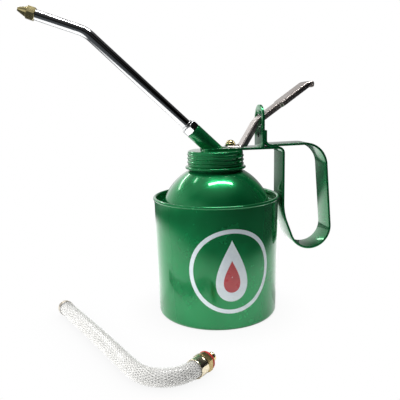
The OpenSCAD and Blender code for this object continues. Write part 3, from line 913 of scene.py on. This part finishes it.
def make_strip():
    """The handle: one steel strip bent into a loop, notched round the outlet and holed for the rod."""
    tab_x = BRACKET_X + STRIP_T + 0.1
    top_z = STRIP_Z + STRIP_T + 0.05
    end_x = -9.5
    corners = [(end_x, STRIP_Z, 0), (47.4, STRIP_Z, 4), (47.4, 70.6, 40), (57.7, 43.7, 15.2),
               (84.8, 43.7, 15.2), (78.5, top_z + 0.6, 16.5), (tab_x, top_z, 4), (tab_x, 130.5, 0)]
    line = [Vector((x, 0, z)) for x, z in rounded(corners, steps=24)]
    half_w, half_t = STRIP_W / 2, STRIP_T / 2
    section = [(-half_w, -half_t), (half_w, -half_t), (half_w, half_t), (-half_w, half_t)]
    strip = mesh_object("handle", carry(line, lambda i: section, across=ACROSS))
    notch = rounded([(-30, -5.8, 0), (7.8, -5.8, 5.75), (7.8, 5.8, 5.75), (-30, 5.8, 0)], steps=12)
    end_r, cut_h = 3.2, 6
    low = STRIP_Z - cut_h / 2
    shapes = [placed(outline_plate(notch, cut_h), shift(0, 0, low)), rod_hole(1.9, low, low + cut_h)]
    for side in (-1, 1):
        outline = [(-20, side * 9), (-20, side * 20), (5, side * 20), (5, side * half_w),
                   (end_x + end_r, side * half_w)]
        outline += arc((end_x + end_r, side * (half_w - end_r)), end_r, 90 * side, 180 * side, 12)[1:]
        outline.append((-20, side * (half_w - end_r)))
        shapes.append(placed(outline_plate(outline, cut_h), shift(0, 0, low)))
    cut(strip, *shapes)
    soften_edges(strip, 0.4)
    finish_piece(strip, "enamel", "cap", ["handle_strip"])


def make_bracket():
    """The upright plate whose slot the lever passes through and rocks in."""
    half_w, slot_w = STRIP_W / 2, LEVER_W + 1.3
    foot = CAP_TOP + STRIP_T + 0.05
    crown = arc((0, BRACKET_TOP - half_w), half_w, 0, 180, 40)
    outline = [(-half_w, foot), (half_w, foot)] + crown
    upright = Matrix(((0, 0, 1, 0), (1, 0, 0, 0), (0, 1, 0, 0), (0, 0, 0, 1)))
    at_face = shift(BRACKET_X - STRIP_T / 2, 0, 0) @ upright
    plate = mesh_object("fulcrum_plate", placed(outline_plate(outline, STRIP_T), at_face))
    slot = rounded([(-slot_w / 2, FULCRUM_Z, 0), (slot_w / 2, FULCRUM_Z, 0), (slot_w / 2, SLOT_TOP, 0.5),
                    (-slot_w / 2, SLOT_TOP, 0.5)], closed=True)
    front = BRACKET_X - 3
    pit_r, pit_y, depth = 0.6, 3.1, 3.5
    pin = solid_of_turning([(0, 0), (pit_r, 0), (pit_r, depth), (0, depth)], 24)
    pits = [placed(pin, shift(front, y, SLOT_TOP + 0.35) @ turn_about("Y", 90)) for y in (-pit_y, pit_y)]
    cut(plate, placed(outline_plate(slot, 6), shift(front, 0, 0) @ upright), *pits)
    soften_edges(plate, 0.35)
    finish_piece(plate, "enamel", "cap", ["fulcrum_bracket"])

    head = [(0, -0.2), (1.5, -0.2), (1.5, 0), (2.4, 0)] + arc((0, -2.3), 3.32, 43.7, 90, 10)[:-1] + [(0, 0.9)]
    shank = [(0, 0.12), (0.2, 0.12), (0.35, 0), (1.5, 0), (1.5, 3.4), (0, 3.4)]
    face, back = BRACKET_X - STRIP_T / 2, BRACKET_X + 1.5 * STRIP_T + 0.15
    rivet = joined(placed(solid_of_turning(shank, 32), shift(face, 0, RIVET_Z) @ turn_about("Y", 90)),
                   placed(solid_of_turning(head), shift(back, 0, RIVET_Z) @ turn_about("Y", 90)))
    add_piece("rivet", rivet, "enamel", "cap", ["bracket_rivet"])


# --- lever ---
def quarter_turn(x, y, radius, steps=5):
    """Points of a quarter circle from across to up, about a centre."""
    turns = [math.radians(90 * k / steps) for k in range(steps + 1)]
    return [(x + radius * math.cos(t), y + radius * math.sin(t)) for t in turns]


def make_lever():
    """A pressed channel: forked foot, ear that rocks in the slot, wide thumb pad with a curled nose."""
    corners = [(8, FORK_Z, 0), (17.6, FORK_Z, 2.6), (28.2, 137.6, 18), (64.8, 163, 6), (69.9, 163.87, 1.8),
               (70.7, 159.5, 0)]
    line = [Vector((x, 0, z)) for x, z in walk(rounded(corners, steps=24), 0.3)]
    fulcrum = Vector((BRACKET_X, 0, FULCRUM_Z))
    ear_r, pivot_r, nose_r = 2.2, 0.86, 4.2

    def past_nose(i):
        """Length of line from this point to the nose's end."""
        return sum((b - a).length for a, b in zip(line[i:], line[i + 1:]))

    def depth_at(i):
        """How far the flange reaches below the top at this point of the line."""
        place, way = line[i], way_at(line, i)
        down = Vector((way.z, 0, -way.x))
        depth = FLANGE - 0.4 * ease(PAD_X - 1, PAD_X + 1, place.x)
        depth = min(depth, 1.4 + 2.5 * ease(5.4, 10.5, past_nose(i)))
        if place.x < 30:
            room = (place.z - (FORK_Z - LEVER_T)) / max(-down.z, 1e-3)
            depth = min(depth, max(room, LEVER_T))
        along = (fulcrum - place).dot(way)
        under = (fulcrum - place).dot(down)
        if abs(along) < ear_r and place.x < PAD_X:
            ear = min((place.z - FULCRUM_Z) / -down.z, under + math.sqrt(ear_r ** 2 - along ** 2))
            if abs(along) < pivot_r:
                ear = min(ear, under - math.sqrt(pivot_r ** 2 - along ** 2))
            depth = max(depth, ear)
        return depth

    def width_at(i):
        left = past_nose(i)
        width = LEVER_W + (PAD_W - LEVER_W) * ease(PAD_X - 0.9, PAD_X + 0.9, line[i].x)
        if left < nose_r:
            width -= 2 * (nose_r - math.sqrt(nose_r ** 2 - (nose_r - left) ** 2)) * 0.8
        return width

    def section(i):
        """The channel: down the outside of one flange, over the top and back along the inside."""
        half, depth = width_at(i) / 2, depth_at(i)
        inner, outer_r, inner_r = half - LEVER_T, 1.5, 0.6
        outside = [(half, -depth)] + quarter_turn(half - outer_r, -outer_r, outer_r)
        inside = [(inner, -depth)] + quarter_turn(inner - inner_r, -LEVER_T - inner_r, inner_r)
        outside = [(x, max(y, -depth)) for x, y in outside]
        inside = [(x, max(y, -depth)) for x, y in inside]
        left_side = [(-x, y) for x, y in outside] + [(x, y) for x, y in reversed(outside)]
        return left_side + [(x, y) for x, y in inside] + [(-x, y) for x, y in reversed(inside)]

    lever = mesh_object("thumb_lever", carry(line, section, across=ACROSS))
    half_gap, root = 2.2, 17.5
    end_r = half_gap - 0.01
    fork = rounded([(-5, -half_gap, 0), (root, -half_gap, end_r), (root, half_gap, end_r),
                    (-5, half_gap, 0)], steps=12)
    cut(lever, placed(outline_plate(fork, 7), shift(0, 0, FORK_Z - 3.5)))
    soften_edges(lever, 0.18, angle=55, segments=2)
    finish_piece(lever, "nickel", "lever", ["lever"])


# --- pump parts that show or move ---
def make_pump():
    """The rod's dome nut and the return spring."""
    low, high = (corner.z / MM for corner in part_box("rod_nut"))
    nut_r, dome_r, edge = 3.5, 3.05, 0.25
    waist = low + 1.3
    profile = [(0, low), (nut_r - edge, low), (nut_r, low + edge), (nut_r, low + 1.1), (nut_r - edge, waist)]
    turns = [math.radians(a) for a in range(0, 90, 9)]
    profile += [(dome_r * math.cos(t), waist + (high - waist) * math.sin(t)) for t in turns] + [(0, high)]
    add_piece("dome_nut", placed(solid_of_turning(profile, 96), shift(ROD_X, 0, 0)), "brass", "plunger",
              ["rod_nut"])

    foot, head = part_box("return_spring")
    wire, turns, radius = 0.45, 9, 3.9
    bottom, top = foot.z / MM + wire, head.z / MM - wire
    steps = turns * 28
    line = []
    for i in range(steps + 1):
        angle = 2 * math.pi * turns * i / steps
        height = bottom + (top - bottom) * i / steps
        line.append(Vector((ROD_X + radius * math.cos(angle), radius * math.sin(angle), height)))
    spring = add_piece("coil_spring", tube(line, wire, 10), "steel", "cap", ["return_spring"])
    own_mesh(spring)


def make_spout():
    """The union nut, ferrule, bent pipe and nozzle."""
    place, upper = spout_place(), upper_place()
    nut = hex_nut(10.4, SPOUT_R + 0.06, SOCKET_END + 0.05, SOCKET_END + 4.9)
    add_piece("union_nut", placed(nut, place), "chrome", "cap", ["spout_nut"])

    low, high, bore = SOCKET_END + 5.05, SOCKET_END + 6.6, SPOUT_R + 0.02
    ring = rounded([(bore, low, 0), (4.2, low, 0.3), (4.2, high, 0.45), (bore, high, 0)], closed=True,
                   steps=5)
    add_piece("spout_collar", placed(lathe(ring), place), "chrome", "spout", ["spout_ferrule"])

    lower = [place @ Vector((0, 0, s)) for s in (16, BEND_AT)]
    hub = place @ Vector((-BEND_R, 0, BEND_AT))
    turn_steps = 20
    turns = [turn_about("Y", -BEND_ANGLE * i / turn_steps) for i in range(1, turn_steps + 1)]
    bend = [hub + turn @ (lower[1] - hub) for turn in turns]
    straight = [lower[0].lerp(lower[1], i / 12) for i in range(13)]
    end = [upper @ Vector((0, 0, UPPER_LEN * i / 4 + 0.5)) for i in range(1, 5)]
    add_piece("spout_pipe", tube(straight + bend + end, SPOUT_R, 64), "chrome", "spout", ["spout_tube"])

    flats, body_end = 8, UPPER_LEN + 5.4
    hexagon = hex_profile(flats, SPOUT_R + 0.03, UPPER_LEN, body_end)
    shell = lathe(hexagon[:-1] + [(3.3, body_end)], reach=hex_reach(flats))
    cone = rounded([(3.2, body_end - 1.0, 0), (3.45, body_end + 0.1, 0.2), (3.3, body_end + 0.5, 0.3),
                    (1.35, body_end + 5.3, 0.2), (1.2, body_end + 5.6, 0.15), (0.8, body_end + 5.6, 0),
                    (0.8, body_end - 1.0, 0)], closed=True, steps=4)
    add_piece("spray_tip", placed(joined(shell, lathe(cone)), upper), "brass", "spout", ["nozzle"])


def coat_cad_nodes():
    """CAD nodes whose shape is right, which keep it and get a finish."""
    finishes = {
        "brass": ["gland_bush", "foot_valve", "strainer", "delivery_pipe", "delivery_seat", "piston_nut"],
        "steel": ["pump_barrel", "valve_pin", "plunger_rod", "spring_collar", "piston_washers", "foot_ball",
                  "delivery_ball"],
        "rubber": ["cap_seal", "rod_seal"],
        "leather": ["piston_cup"],
    }
    for paint, nodes in finishes.items():
        for node in nodes:
            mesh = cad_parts[node].data
            mesh.materials.clear()
            mesh.materials.append(paints[paint])


def neck_paint():
    """Enamel worn to bright tin along the crests of the neck's thread."""
    paint = Paint("worn_neck")
    split = paint.node("ShaderNodeSeparateXYZ")
    paint.join(paint.place, split.inputs[0])
    squares = [paint.math("MULTIPLY", split.outputs[axis], split.outputs[axis]) for axis in (0, 1)]
    from_axis = paint.math("SQRT", paint.math("ADD", *squares), 0)
    worn = paint.range(from_axis, (NECK_R + 0.12) * MM, (NECK_R + 0.30) * MM)
    patchy = paint.math("MULTIPLY", worn, paint.range(paint.noise(300, 4), 0.35, 0.6))
    paint.link(paint.mix(patchy, (0.007, 0.16, 0.05), (0.62, 0.62, 0.60)), "Base Color")
    paint.link(paint.range(paint.noise(200, 3), 0.3, 0.7, 0.2, 0.35), "Roughness")
    paint.set(Metallic=0.7)
    paint.bump(paint.noise(620, 1), 0.00001)
    return paint.material


def make_paints():
    """Every finish by name."""
    along_lever = ((2500, 120, 900), (0, 0.6, 0))
    return {
        "enamel": enamel(),
        "neck": neck_paint(),
        "chrome": plated("chrome_finish", (0.80, 0.81, 0.82), (0.60, 0.61, 0.62), 0.07, 0.25),
        "nickel": plated("nickel_finish", (0.50, 0.455, 0.43), (0.38, 0.33, 0.30), 0.33, 0.5, along_lever),
        "brass": plated("brass_finish", (0.70, 0.60, 0.30), (0.44, 0.37, 0.17), 0.20, 0.5),
        "pale_brass": plated("pale_brass", (0.80, 0.72, 0.54), (0.55, 0.44, 0.26), 0.2, 0.5),
        "old_brass": plated("old_brass", (0.48, 0.38, 0.17), (0.28, 0.20, 0.08), 0.26, 0.6),
        "tin": plated("hose_tip_tin", (0.55, 0.50, 0.42), (0.22, 0.18, 0.13), 0.25, 0.8),
        "steel": plated("steel_finish", (0.60, 0.59, 0.57), (0.36, 0.34, 0.31), 0.22, 0.4),
        "rubber": dull("black_rubber", (0.012, 0.012, 0.012), (0.03, 0.03, 0.03), 0.7, 500, 0.00004),
        "leather": dull("cup_leather", (0.16, 0.075, 0.03), (0.26, 0.13, 0.06), 0.6, 700, 0.00012),
        "fibre": dull("red_fibre", (0.50, 0.022, 0.016), (0.62, 0.05, 0.035), 0.55, 900, 0.00005),
        "hose": clear_hose(),
        "liner": dull("hose_liner", (0.36, 0.38, 0.38), (0.44, 0.46, 0.46), 0.35, 150, 0.00001),
        "yarn": dull("braid_yarn", (0.78, 0.77, 0.745), (0.83, 0.82, 0.795), 0.5, 300, 0.00001),
        "white_ink": print_ink("white_ink", (0.84, 0.92, 0.96), (0.76, 0.84, 0.90)),
        "red_ink": print_ink("red_ink", (0.56, 0.025, 0.035), (0.46, 0.03, 0.035)),
    }


bpy.context.scene.view_settings.view_transform = "Standard"
set_camera()
paints = make_paints()
make_flexible_spout()
set_lights()
set_world()
make_floor()
make_can()
make_cap()
make_socket()
make_strip()
make_bracket()
make_lever()
make_pump()
make_spout()
coat_cad_nodes()
